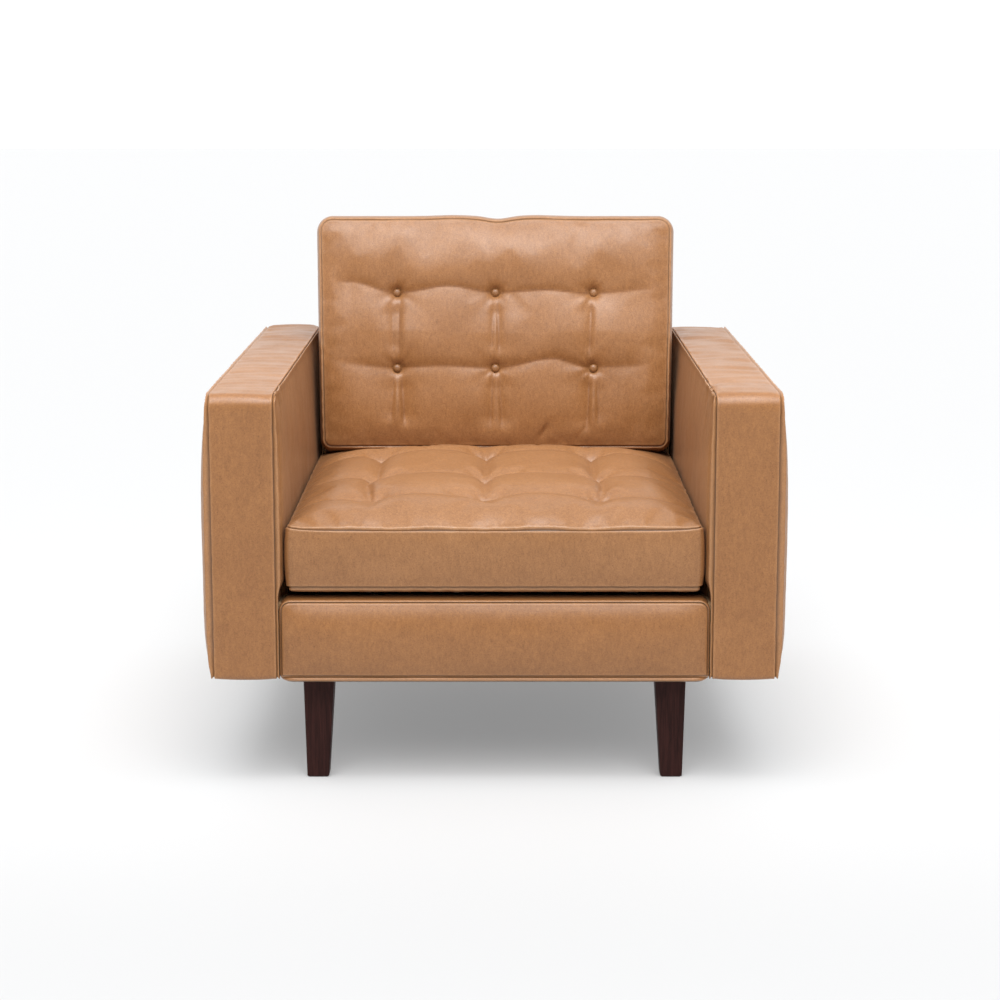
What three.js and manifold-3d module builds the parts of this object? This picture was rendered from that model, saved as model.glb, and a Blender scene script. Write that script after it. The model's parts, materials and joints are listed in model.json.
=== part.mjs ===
// An upholstered leather armchair: hardwood seat frame on four tapered legs, sinuous seat springs,
// box arms, a reclined back, and a loose tufted seat cushion and back cushion.
// Millimetres, +Z up. The chair faces -Y. Its origin is on the floor under the middle of its box.
// Left and right are those of a person sitting in it, so left is +X.
import * as THREE from "three";
import { mergeVertices } from "three/addons/utils/BufferGeometryUtils.js";
import Module from "manifold-3d";

// Whole chair
const DEPTH = 980;
const FRONT = -DEPTH / 2;
const REAR = DEPTH / 2;
const GAP = 0.4;
const LEATHER = 3;
const UNDERSIDE = 177;

// Arms
const ARM_SPREAD = 885;
const ARM_WIDTH = 99;
const ARM_TOP = 630;
const ARM_SWELL = 14.5;
const ARM_CORNER = 25;
const ARM_POST = { width: 70, depth: 35 };
const ARM_RAIL_THICK = 35;
const ARM_SIDE_PAD = 14.5;
const ARM_TOP_PAD = 18.5;
const ARM_END_PAD = 25;

// Seat frame
const RAIL_THICK = 25;
const RAIL_BOTTOM = 181;
const RAIL_TOP = 296;
const SIDE_RAIL_OUTER = 357.5;
const SEAT_FRONT = FRONT + 19;
const BACK_RAIL_REAR = REAR - 40;
const BLOCK = { leg: 185, tip: 30, thick: 40 };

// Front rail cover
const FASCIA = { halfWidth: 339, front: FRONT + 7, back: FRONT + 60, bottomBack: FRONT + 40 };
const FASCIA_BOTTOM = 172;
const FASCIA_TOP = 308;
const FASCIA_SKIN = { front: 12, top: 6.5, bottom: 8 };

// Springs and cloths
const SPRING_COUNT = 4;
const SPRING_SPACING = 140;
const SPRING_WIRE = 2;
const SPRING_SWING = 24;
const SPRING_BARS = 22;
const SPRING_RISE = 6;
const DECK = { halfWidth: 328, bottom: 307.5, thick: 1.5 };
const DUST = { halfWidth: 438, bottom: 178, thick: 1.5, front: FRONT + 42, rear: REAR - 4, tongue: 347 };

// Legs
const LEG = { x: 281, y: REAR - 78, top: 51, foot: 35, splay: 3.8, edge: 3, chamfer: 2.5 };
const LEG_TOP = RAIL_BOTTOM - GAP;
const BOLT = { radius: 4, intoLeg: 45, intoBlock: 36 };

// Back frame
const RECLINE = THREE.MathUtils.degToRad(9);
const BACK_TOP = 750;
const BACK_FOOT = { y: FRONT + 777.6, z: 316 };
const BACK_HALF_WIDTH = { front: 328, rear: 338 };
const BACK_PAD = 12;
const BACK_WEB = 2;
const BACK_POST = { width: 38, x: 299 };
const BACK_RAIL_THICK = 33;

// Cushions: widths across, lengths front to back or up the back, boxing heights
const SEAT = {
  width: 652, length: 763, boxing: 106, crown: 28, under: 0, side: 0,
  front: FRONT + 10, bottom: 311,
  columns: [-198, -15, 167], rows: [FRONT + 137, FRONT + 305, FRONT + 489],
};
const BACK = {
  width: 644, length: 420, boxing: 110, crown: 18, under: 16, side: 4,
  foot: { y: FRONT + 665, z: 441 },
  columns: [-180, 0, 180], rows: [146, 284],
};
const TUFT = { depth: 20, mouth: 26, floor: 9 };
const BUTTON = { radius: 7, height: 5 };
const ZIP = { length: 480, height: 9, thick: 1.6 };

const materials = {
  leather: new THREE.MeshStandardMaterial({ color: 0xb57f50, roughness: 0.5, metalness: 0 }),
  espresso: new THREE.MeshStandardMaterial({ color: 0x352221, roughness: 0.45, metalness: 0 }),
  timber: new THREE.MeshStandardMaterial({ color: 0xc9a877, roughness: 0.7, metalness: 0 }),
  steel: new THREE.MeshStandardMaterial({ color: 0x8d8f92, roughness: 0.35, metalness: 1 }),
  foam: new THREE.MeshStandardMaterial({ color: 0xe9dfb8, roughness: 0.95, metalness: 0 }),
  cloth: new THREE.MeshStandardMaterial({ color: 0x2b2725, roughness: 0.95, metalness: 0 }),
  webbing: new THREE.MeshStandardMaterial({ color: 0x8a6a45, roughness: 0.9, metalness: 0 }),
  zip: new THREE.MeshStandardMaterial({ color: 0x4a3424, roughness: 0.6, metalness: 0 }),
};

const wasm = await Module();
wasm.setup();
const chair = new THREE.Group();

function solidOf(geometry) {
  const bare = geometry.clone();
  bare.deleteAttribute("normal");
  bare.deleteAttribute("uv");
  const merged = mergeVertices(bare, 1e-4);
  const vertProperties = new Float32Array(merged.attributes.position.array);
  const triVerts = new Uint32Array(merged.index.array);
  return new wasm.Manifold(new wasm.Mesh({ numProp: 3, vertProperties, triVerts }));
}

function geometryOf(solid) {
  const mesh = solid.getMesh();
  const geometry = new THREE.BufferGeometry();
  geometry.setAttribute("position", new THREE.BufferAttribute(mesh.vertProperties, 3));
  geometry.setIndex(new THREE.BufferAttribute(mesh.triVerts, 1));
  geometry.computeVertexNormals();
  return geometry;
}

function addPart(name, material, geometry, parent = chair) {
  const mesh = new THREE.Mesh(geometry, material);
  mesh.name = name;
  parent.add(mesh);
  return mesh;
}

// A box between two corners.
function boxBetween([x0, y0, z0], [x1, y1, z1]) {
  const geometry = new THREE.BoxGeometry(Math.abs(x1 - x0), Math.abs(y1 - y0), Math.abs(z1 - z0));
  return geometry.translate((x0 + x1) / 2, (y0 + y1) / 2, (z0 + z1) / 2);
}

// A profile drawn in the Y-Z plane, extruded across the chair between two X values.
function acrossChair(points, x0, x1) {
  const shape = new THREE.Shape(points.map(([y, z]) => new THREE.Vector2(y, z)));
  const geometry = new THREE.ExtrudeGeometry(shape, { depth: Math.abs(x1 - x0), bevelEnabled: false });
  geometry.applyMatrix4(new THREE.Matrix4().set(0, 0, 1, 0, 1, 0, 0, 0, 0, 1, 0, 0, 0, 0, 0, 1));
  return geometry.translate(Math.min(x0, x1), 0, 0);
}

// A box whose faces swell outwards between its edges, and whose edges stay put.
function swollenBox(size, segments, swell) {
  const geometry = new THREE.BoxGeometry(...size, ...segments);
  const position = geometry.attributes.position;
  const fade = (a, b) => (1 - a ** 4) * (1 - b ** 4);
  for (let i = 0; i < position.count; i++) {
    const x = position.getX(i);
    const y = position.getY(i);
    const z = position.getZ(i);
    const u = 2 * x / size[0];
    const v = 2 * y / size[1];
    const w = 2 * z / size[2];
    const swellZ = w > 0 ? swell.top : swell.bottom;
    position.setXYZ(i, x + swell.x * u * fade(v, w), y + swell.y * v * fade(u, w), z + swellZ * w * fade(u, v));
  }
  return geometry;
}

// Seat frame: a front and a back rail fitted between two side rails.
function buildSeatFrame() {
  const inside = SIDE_RAIL_OUTER - RAIL_THICK;
  const reach = inside - GAP;
  const rails = {
    front_rail: [[-reach, SEAT_FRONT + GAP], [reach, SEAT_FRONT + RAIL_THICK]],
    back_rail: [[-reach, BACK_RAIL_REAR - RAIL_THICK], [reach, BACK_RAIL_REAR]],
    left_side_rail: [[inside, SEAT_FRONT + GAP], [SIDE_RAIL_OUTER, BACK_RAIL_REAR]],
    right_side_rail: [[-SIDE_RAIL_OUTER, SEAT_FRONT + GAP], [-inside, BACK_RAIL_REAR]],
  };
  for (const [name, [low, high]] of Object.entries(rails)) {
    addPart(name, materials.timber, boxBetween([...low, RAIL_BOTTOM], [...high, RAIL_TOP]));
  }
}

// The four corners of the seat frame, as signs of X and Y.
const corners = [
  { name: "front_left", x: 1, y: -1 },
  { name: "front_right", x: -1, y: -1 },
  { name: "rear_left", x: 1, y: 1 },
  { name: "rear_right", x: -1, y: 1 },
];

// A glued corner block with the bore for its leg's bolt.
function buildCornerBlock({ name, x, y }) {
  const cornerX = SIDE_RAIL_OUTER - RAIL_THICK - GAP;
  const cornerY = y < 0 ? -(SEAT_FRONT + RAIL_THICK + GAP) : BACK_RAIL_REAR - RAIL_THICK - GAP;
  const outline = [
    [0, 0], [BLOCK.leg, 0], [BLOCK.leg, BLOCK.tip], [BLOCK.tip, BLOCK.leg], [0, BLOCK.leg],
  ];
  const shape = new THREE.Shape(
    outline.map(([a, b]) => new THREE.Vector2(x * (cornerX - a), y * (cornerY - b))),
  );
  const bore = new THREE.Path();
  bore.absarc(x * LEG.x, y * LEG.y, BOLT.radius + GAP, 0, 2 * Math.PI);
  shape.holes.push(bore);
  const geometry = new THREE.ExtrudeGeometry(shape, { depth: BLOCK.thick, bevelEnabled: false, curveSegments: 12 });
  addPart(`${name}_corner_block`, materials.timber, geometry.translate(0, 0, RAIL_BOTTOM));
}

// A square leg with softened edges, tapered to a slightly splayed and chamfered foot.
function buildLeg({ name, x, y }) {
  const half = 0.5;
  const edge = LEG.edge / LEG.top;
  const shape = new THREE.Shape();
  shape.absarc(half - edge, half - edge, edge, 0, Math.PI / 2);
  shape.absarc(-half + edge, half - edge, edge, Math.PI / 2, Math.PI);
  shape.absarc(-half + edge, -half + edge, edge, Math.PI, 1.5 * Math.PI);
  shape.absarc(half - edge, -half + edge, edge, 1.5 * Math.PI, 2 * Math.PI);
  const rings = 2;
  const geometry = new THREE.ExtrudeGeometry(shape, {
    depth: 1, steps: rings, bevelEnabled: false, curveSegments: 3,
  });
  const position = geometry.attributes.position;
  for (let i = 0; i < position.count; i++) {
    const ring = Math.round(position.getZ(i) * rings);
    const z = [0, LEG.chamfer, LEG_TOP][ring];
    const taper = z / LEG_TOP;
    const width = THREE.MathUtils.lerp(LEG.foot, LEG.top, taper) - (ring === 0 ? 2 * LEG.chamfer : 0);
    const lean = LEG.splay * (1 - taper);
    const centreX = x * (LEG.x + lean);
    const centreY = y * (LEG.y + lean);
    position.setXYZ(i, centreX + position.getX(i) * width, centreY + position.getY(i) * width, z);
  }
  const bore = new THREE.CylinderGeometry(BOLT.radius + GAP, BOLT.radius + GAP, 2 * BOLT.intoLeg, 12);
  bore.rotateX(Math.PI / 2).translate(x * LEG.x, y * LEG.y, LEG_TOP - GAP);
  addPart(`${name}_leg`, materials.espresso, geometryOf(solidOf(geometry).subtract(solidOf(bore))));
  const length = BOLT.intoLeg + BOLT.intoBlock - 2 * GAP;
  const bolt = new THREE.CylinderGeometry(BOLT.radius, BOLT.radius, length, 12);
  bolt.rotateX(Math.PI / 2).translate(x * LEG.x, y * LEG.y, LEG_TOP + (BOLT.intoBlock - BOLT.intoLeg) / 2);
  addPart(`${name}_leg_bolt`, materials.steel, bolt);
}

// Sinuous springs, bowed upwards, with their ends on the front and back rails.
function buildSprings() {
  const start = SEAT_FRONT + RAIL_THICK / 2;
  const end = BACK_RAIL_REAR - RAIL_THICK / 2;
  for (let n = 0; n < SPRING_COUNT; n++) {
    const x = (n - (SPRING_COUNT - 1) / 2) * SPRING_SPACING;
    const points = [];
    for (let bar = 0; bar <= SPRING_BARS; bar++) {
      const t = bar / SPRING_BARS;
      const swing = bar === 0 || bar === SPRING_BARS ? 0 : SPRING_SWING * (bar % 2 ? 1 : -1);
      const rise = SPRING_RISE * Math.sin(Math.PI * t);
      const y = THREE.MathUtils.lerp(start, end, t);
      points.push(new THREE.Vector3(x + swing, y, RAIL_TOP + GAP + SPRING_WIRE + rise));
    }
    const wire = new THREE.Shape();
    wire.absarc(0, 0, SPRING_WIRE, 0, 2 * Math.PI);
    const geometry = new THREE.ExtrudeGeometry(wire, {
      extrudePath: new THREE.CatmullRomCurve3(points), steps: SPRING_BARS * 3, curveSegments: 3,
    });
    addPart(`seat_spring_${n + 1}`, materials.steel, geometry);
  }
}

// The deck cloth over the springs, and the dust cover under the chair and its arms with holes for the legs.
function buildCloths() {
  const front = FASCIA.back + 1;
  const rear = BACK_FOOT.y - 2;
  const deck = boxBetween(
    [-DECK.halfWidth, front, DECK.bottom], [DECK.halfWidth, rear, DECK.bottom + DECK.thick],
  );
  addPart("deck_cloth", materials.cloth, deck);
  const { halfWidth, bottom, thick } = DUST;
  let dust = solidOf(boxBetween([-halfWidth, DUST.front, bottom], [halfWidth, DUST.rear, bottom + thick]));
  for (const side of [1, -1]) {
    const tongue = boxBetween(
      [side * DUST.tongue, -DUST.rear, bottom], [side * halfWidth, DUST.front + 1, bottom + thick],
    );
    dust = dust.add(solidOf(tongue));
  }
  const hole = LEG.top / 2 + 1;
  for (const { x, y } of corners) {
    const opening = boxBetween(
      [x * LEG.x - hole, y * LEG.y - hole, bottom - 1], [x * LEG.x + hole, y * LEG.y + hole, bottom + thick + 1],
    );
    dust = dust.subtract(solidOf(opening));
  }
  addPart("dust_cover", materials.cloth, geometryOf(dust));
}

// The padded leather fascia: a channel that wraps the front rail from above, in front and below.
function buildFascia() {
  const { front, back, bottomBack, halfWidth } = FASCIA;
  const inner = front + FASCIA_SKIN.front;
  const profile = [
    [bottomBack, FASCIA_BOTTOM], [bottomBack, FASCIA_BOTTOM + FASCIA_SKIN.bottom],
    [inner, FASCIA_BOTTOM + FASCIA_SKIN.bottom], [inner, FASCIA_TOP - FASCIA_SKIN.top],
    [back, FASCIA_TOP - FASCIA_SKIN.top], [back, FASCIA_TOP], [front, FASCIA_TOP], [front, FASCIA_BOTTOM],
  ];
  addPart("front_rail_cover", materials.leather, acrossChair(profile, -halfWidth, halfWidth));
}

// The outer body of an arm drawn in by a margin: swollen sides, and rounded ends along the top.
function armBody(side, margin) {
  const height = ARM_TOP - UNDERSIDE;
  const middleX = side * (ARM_SPREAD - ARM_WIDTH) / 2;
  const size = [ARM_WIDTH - 2 * margin, DEPTH - 2 * margin, height];
  const swollen = swollenBox(size, [2, 10, 6], { x: ARM_SWELL, y: 0, top: 0, bottom: 0 });
  swollen.translate(middleX, 0, UNDERSIDE + height / 2 - margin);
  const corner = ARM_CORNER - margin;
  const reach = REAR - margin;
  const top = ARM_TOP - margin;
  const below = UNDERSIDE - 2 * ARM_CORNER;
  const outline = new THREE.Shape();
  outline.moveTo(-reach, below);
  outline.lineTo(reach, below);
  outline.absarc(reach - corner, top - corner, corner, 0, Math.PI / 2);
  outline.absarc(-reach + corner, top - corner, corner, Math.PI / 2, Math.PI);
  const profile = outline.getPoints(4).map((point) => [point.x, point.y]);
  const rounded = acrossChair(profile, middleX - ARM_WIDTH, middleX + ARM_WIDTH);
  return solidOf(swollen).intersect(solidOf(rounded));
}

// One arm: two posts and a top rail, wrapped in foam, under a leather cover open at the bottom.
function buildArm(side) {
  const name = side > 0 ? "left_arm" : "right_arm";
  const middleX = side * (ARM_SPREAD - ARM_WIDTH) / 2;
  const low = middleX - ARM_POST.width / 2;
  const high = middleX + ARM_POST.width / 2;
  const railTop = ARM_TOP - ARM_TOP_PAD;
  const railBottom = railTop - ARM_RAIL_THICK;
  const end = REAR - ARM_END_PAD;
  const inner = end - ARM_POST.depth;
  const posts = { front_post: [-end, -inner], rear_post: [inner, end] };
  for (const [post, [y0, y1]] of Object.entries(posts)) {
    const geometry = boxBetween([low, y0, RAIL_BOTTOM], [high, y1, railBottom - GAP]);
    addPart(`${name}_${post}`, materials.timber, geometry);
  }
  addPart(`${name}_top_rail`, materials.timber, boxBetween([low, -end, railBottom], [high, end, railTop]));
  const doorway = boxBetween(
    [side * (SIDE_RAIL_OUTER + GAP), -REAR + 18, 0],
    [side * (SIDE_RAIL_OUTER - 2 * RAIL_THICK), REAR - LEATHER, FASCIA_TOP + 1],
  );
  const openBottom = boxBetween([middleX - ARM_WIDTH, -DEPTH, 0], [middleX + ARM_WIDTH, DEPTH, RAIL_BOTTOM]);
  const hollow = boxBetween([low - GAP, -end - GAP, 0], [high + GAP, end + GAP, railTop + GAP]);
  const padding = armBody(side, LEATHER + GAP)
    .subtract(solidOf(hollow))
    .subtract(solidOf(doorway))
    .subtract(solidOf(openBottom));
  addPart(`${name}_padding`, materials.foam, geometryOf(padding));
  const cover = armBody(side, 0).subtract(armBody(side, LEATHER)).subtract(solidOf(doorway));
  addPart(`${name}_cover`, materials.leather, geometryOf(cover));
}

// Where the back's front face lies at a height.
function backFaceY(z) {
  return BACK_FOOT.y + (z - BACK_FOOT.z) * Math.tan(RECLINE);
}

// The back's wedge in the Y-Z plane, with its skin drawn in by a margin and its foot at a height.
function backWedge(margin, foot) {
  const top = BACK_TOP - margin;
  return [
    [backFaceY(foot) + margin, foot], [REAR - margin, foot], [REAR - margin, top], [backFaceY(top) + margin, top],
  ];
}

// Spreads a back solid so that it widens towards the rear, as the arms' inner faces do.
function widenToRear(geometry, margin) {
  const position = geometry.attributes.position;
  const { front, rear } = BACK_HALF_WIDTH;
  for (let i = 0; i < position.count; i++) {
    const t = (position.getY(i) - BACK_FOOT.y) / (REAR - BACK_FOOT.y);
    const halfWidth = THREE.MathUtils.lerp(front, rear, t) - margin;
    position.setX(i, Math.sign(position.getX(i)) * halfWidth);
  }
  return geometry;
}

// The back: two posts and a top rail, webbing, foam and a leather cover open at the bottom.
function buildBack() {
  const deckLevel = BACK_FOOT.z + 4;
  const outer = solidOf(widenToRear(acrossChair(backWedge(0, deckLevel), -1, 1), 0));
  const inner = solidOf(widenToRear(acrossChair(backWedge(LEATHER, 0), -1, 1), LEATHER));
  const tail = [
    [REAR - LEATHER, UNDERSIDE], [REAR, UNDERSIDE], [REAR, BACK_TOP / 2], [REAR - LEATHER, BACK_TOP / 2],
  ];
  const tailSolid = solidOf(widenToRear(acrossChair(tail, -1, 1), 0));
  addPart("back_cover", materials.leather, geometryOf(outer.subtract(inner).add(tailSolid)));

  const top = BACK_TOP - LEATHER - GAP - 1;
  const layer = (near, far) => [
    [backFaceY(deckLevel) + near, deckLevel], [backFaceY(deckLevel) + far, deckLevel],
    [backFaceY(top) + far, top], [backFaceY(top) + near, top],
  ];
  const padNear = LEATHER + GAP;
  const padFar = padNear + BACK_PAD;
  const reach = BACK_HALF_WIDTH.front - LEATHER - 2;
  addPart("back_padding", materials.foam, acrossChair(layer(padNear, padFar), -reach, reach));
  const webFar = padFar + GAP + BACK_WEB;
  addPart("back_webbing", materials.webbing, acrossChair(layer(padFar + GAP, webFar), -reach, reach));

  const postTop = top - BACK_RAIL_THICK;
  const postRear = REAR - LEATHER - 4;
  const postNear = webFar + GAP;
  const post = [
    [BACK_RAIL_REAR + GAP, RAIL_BOTTOM], [postRear, RAIL_BOTTOM], [postRear, postTop - GAP],
    [backFaceY(postTop) + postNear, postTop - GAP], [backFaceY(deckLevel) + postNear, deckLevel],
    [BACK_RAIL_REAR + GAP, deckLevel],
  ];
  for (const side of [1, -1]) {
    const low = side * BACK_POST.x - BACK_POST.width / 2;
    const name = side > 0 ? "back_left_post" : "back_right_post";
    addPart(name, materials.timber, acrossChair(post, low, low + BACK_POST.width));
  }
  const board = [
    [backFaceY(top) + postNear, postTop], [postRear, postTop], [postRear, top], [backFaceY(top) + postNear, top],
  ];
  const boardReach = BACK_POST.x + BACK_POST.width / 2;
  addPart("back_top_rail", materials.timber, acrossChair(board, -boardReach, boardReach));
}

// A tapered well for a tuft, turned about the cushion's Z axis, with its floor at a height.
function tuftWell(x, y, floor, margin) {
  const top = floor + 3 * TUFT.depth;
  const flare = (TUFT.mouth - TUFT.floor) / TUFT.depth;
  const profile = [
    new THREE.Vector2(0, floor - margin), new THREE.Vector2(TUFT.floor + margin, floor - margin),
    new THREE.Vector2(TUFT.floor + margin + flare * (top - floor), top), new THREE.Vector2(0, top),
  ];
  const geometry = new THREE.LatheGeometry(profile, 8);
  return solidOf(geometry.rotateX(Math.PI / 2).translate(x, y, 0));
}

// A domed, leather-covered button that stands on a height.
function buttonGeometry(x, y, floor) {
  const profile = [
    new THREE.Vector2(0, floor), new THREE.Vector2(BUTTON.radius, floor),
    new THREE.Vector2(BUTTON.radius, floor + BUTTON.height * 0.4),
    new THREE.Vector2(BUTTON.radius * 0.75, floor + BUTTON.height * 0.8),
    new THREE.Vector2(0, floor + BUTTON.height),
  ];
  const geometry = new THREE.LatheGeometry(profile, 12);
  return geometry.rotateX(Math.PI / 2).translate(x, y, 0);
}

// A box cushion lying on its Z = 0 seam plane: a zipped leather cover, a foam core and its tuft buttons.
function buildCushion(kind, spec, parent, tufts) {
  const { width, length, boxing, crown, under, side } = spec;
  const body = (margin) => {
    const size = [width - 2 * margin, length - 2 * margin, boxing - 2 * margin];
    const geometry = swollenBox(size, [6, 6, 2], { x: side, y: side, top: crown, bottom: under });
    return solidOf(geometry.translate(0, 0, boxing / 2));
  };
  const fade = (x, y) => (1 - (2 * x / width) ** 4) * (1 - (2 * y / length) ** 4);
  const floors = tufts.map(({ x, y }) => boxing + crown * fade(x, y) - TUFT.depth);
  const wells = (margin) => wasm.Manifold.union(
    tufts.map(({ x, y }, n) => tuftWell(x, y, floors[n], margin)),
  );
  const outer = body(0);
  const zipSide = kind === "seat_cushion" ? 1 : -1;
  const zipY = zipSide * (length / 2);
  const slot = boxBetween(
    [-ZIP.length / 2 - GAP, zipY - 2 * side - 3 * LEATHER, boxing / 2 - ZIP.height / 2 - GAP],
    [ZIP.length / 2 + GAP, zipY + 2 * side + 3 * LEATHER, boxing / 2 + ZIP.height / 2 + GAP],
  );
  const cover = outer.subtract(body(LEATHER))
    .add(outer.intersect(wells(LEATHER)))
    .subtract(wells(0))
    .subtract(solidOf(slot));
  addPart(`${kind}_cover`, materials.leather, geometryOf(cover), parent);
  const core = body(LEATHER + GAP).subtract(wells(LEATHER + GAP));
  addPart(`${kind}_core`, materials.foam, geometryOf(core), parent);
  const zipInside = zipY + zipSide * (side - LEATHER + GAP / 2);
  const tape = boxBetween(
    [-ZIP.length / 2, zipInside, boxing / 2 - ZIP.height / 2],
    [ZIP.length / 2, zipInside + zipSide * ZIP.thick, boxing / 2 + ZIP.height / 2],
  );
  addPart(`${kind}_zip`, materials.zip, tape, parent);
  tufts.forEach(({ name, x, y }, n) => {
    addPart(name, materials.leather, buttonGeometry(x, y, floors[n] + GAP), parent);
  });
}

function buildSeatCushion() {
  const group = new THREE.Group();
  const middle = SEAT.front + SEAT.length / 2;
  group.position.set(0, middle, SEAT.bottom);
  chair.add(group);
  const tufts = [];
  SEAT.rows.forEach((row, r) => {
    SEAT.columns.forEach((x, c) => {
      const name = `seat_button_${["front", "middle", "rear"][r]}_${["right", "centre", "left"][c]}`;
      tufts.push({ name, x, y: row - middle });
    });
  });
  buildCushion("seat_cushion", SEAT, group, tufts);
}

function buildBackCushion() {
  const leaning = new THREE.Group();
  leaning.rotation.x = Math.PI / 2 - RECLINE;
  leaning.position.set(0, BACK.foot.y, BACK.foot.z);
  chair.add(leaning);
  const cushion = new THREE.Group();
  cushion.position.set(0, BACK.length / 2, -BACK.boxing);
  leaning.add(cushion);
  const tufts = [];
  BACK.rows.forEach((row, r) => {
    BACK.columns.forEach((x, c) => {
      const name = `back_button_${["lower", "upper"][r]}_${["right", "centre", "left"][c]}`;
      tufts.push({ name, x, y: row - BACK.length / 2 });
    });
  });
  buildCushion("back_cushion", BACK, cushion, tufts);
}

buildSeatFrame();
corners.forEach(buildCornerBlock);
corners.forEach(buildLeg);
buildSprings();
buildCloths();
buildFascia();
buildArm(1);
buildArm(-1);
buildBack();
buildSeatCushion();
buildBackCushion();

export default chair;
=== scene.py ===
import json
import math

import bmesh
import bpy
import numpy as np
from mathutils import Matrix, Vector


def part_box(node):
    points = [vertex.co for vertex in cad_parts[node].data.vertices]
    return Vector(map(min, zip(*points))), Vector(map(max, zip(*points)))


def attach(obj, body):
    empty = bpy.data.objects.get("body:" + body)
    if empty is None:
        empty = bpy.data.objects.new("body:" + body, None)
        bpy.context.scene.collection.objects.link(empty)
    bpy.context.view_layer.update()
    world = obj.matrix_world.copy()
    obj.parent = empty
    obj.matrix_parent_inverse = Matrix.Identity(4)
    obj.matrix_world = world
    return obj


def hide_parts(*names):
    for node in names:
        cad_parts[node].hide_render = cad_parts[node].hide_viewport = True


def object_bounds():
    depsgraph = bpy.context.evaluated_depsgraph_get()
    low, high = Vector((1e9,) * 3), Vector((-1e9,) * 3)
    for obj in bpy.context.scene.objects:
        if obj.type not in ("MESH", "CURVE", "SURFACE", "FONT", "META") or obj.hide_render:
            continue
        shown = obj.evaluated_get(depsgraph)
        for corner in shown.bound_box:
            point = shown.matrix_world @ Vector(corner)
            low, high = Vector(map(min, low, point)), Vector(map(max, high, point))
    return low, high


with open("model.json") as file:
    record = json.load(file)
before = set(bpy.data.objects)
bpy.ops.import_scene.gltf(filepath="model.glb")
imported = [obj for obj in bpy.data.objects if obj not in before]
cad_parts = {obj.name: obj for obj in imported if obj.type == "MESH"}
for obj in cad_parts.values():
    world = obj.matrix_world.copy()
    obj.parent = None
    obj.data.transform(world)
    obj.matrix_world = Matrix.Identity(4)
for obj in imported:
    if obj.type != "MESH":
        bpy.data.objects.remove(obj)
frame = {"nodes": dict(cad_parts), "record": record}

CAD_BOX = [list(corner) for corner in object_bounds()]
SEED = 7
MM = 0.001

# Camera and floor
CAMERA_AWAY = 3.612
CAMERA_SIDE = 0.0086
CAMERA_HEIGHT = 1.126
CAMERA_PITCH = math.radians(10.37)
LENS_MM = 85
SENSOR_MM = 36
FLOOR_SIZE = 60

# The studio's light: a dome that is brightest behind the chair, a broad key light high in front, and a
# softbox over the seat that fills the space between the arms
DOME_LEVEL = 0.82
DOME_BEHIND = 0.45
KEY_ANGLE = math.radians(54)
KEY_SOFTNESS = math.radians(50)
KEY_LEVEL = 2.0
SOFTBOX = {"place": (0, -0.64, 1.42), "target": (0, 0.05, 0.45), "size": (1.8, 0.7), "power": 5.4}
SOFTBOX_SPREAD = math.radians(105)
FLOOR_TONE = (0.56, 0.565, 0.57)
FLOOR_GLOW = 0.22

# Seams: how deep the valley is, how wide, and how proud the leather rolls beside it
SEAM_DEPTH = 3.4 * MM
SEAM_WIDTH = 1.5 * MM
SEAM_LIP = 1.0 * MM
SEAM_LIP_AT = 4.4 * MM
SEAM_LIP_WIDTH = 2.4 * MM
FINE_LINES = tuple(MM * x for x in (0, 0.7, 1.4, 2.3, 3.4, 4.9, 6.8, 9.5, 13.5))

RECLINE = math.radians(9)


# ---------------------------------------------------------------- meshes

def add_mesh(name, points, faces, attributes=None):
    mesh = bpy.data.meshes.new(name)
    mesh.from_pydata([tuple(point) for point in points], [], [tuple(map(int, face)) for face in faces])
    mesh.validate()
    for key, values in (attributes or {}).items():
        attribute = mesh.attributes.new(key, "FLOAT", "POINT")
        attribute.data.foreach_set("value", np.asarray(values, np.float32))
    mesh.shade_smooth()
    piece = bpy.data.objects.new(name, mesh)
    bpy.context.scene.collection.objects.link(piece)
    return piece


def graded(length, step):
    """Grid lines along a length about its middle, close together at both ends, where the seams run."""
    inner = length - 2 * FINE_LINES[-1]
    count = max(2, round(inner / step))
    middle = [FINE_LINES[-1] + inner * k / count for k in range(1, count)]
    lines = list(FINE_LINES) + middle + [length - line for line in reversed(FINE_LINES)]
    return np.array(lines) - length / 2


def round_corners(a, b, half_a, half_b, radii):
    """Moves a rectangle's grid into a rectangle with rounded corners. radii go by the signs of a and b."""
    a, b = a.copy(), b.copy()
    for (sign_a, sign_b), radius in radii.items():
        u = (sign_a * a - (half_a - radius)) / radius
        v = (sign_b * b - (half_b - radius)) / radius
        inside = (u > 0) & (v > 0)
        u, v = np.clip(u, 0, 1), np.clip(v, 0, 1)
        new_a = sign_a * (half_a - radius + radius * u * np.sqrt(1 - v * v / 2))
        new_b = sign_b * (half_b - radius + radius * v * np.sqrt(1 - u * u / 2))
        a[inside], b[inside] = new_a[inside], new_b[inside]
    return a, b


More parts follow.
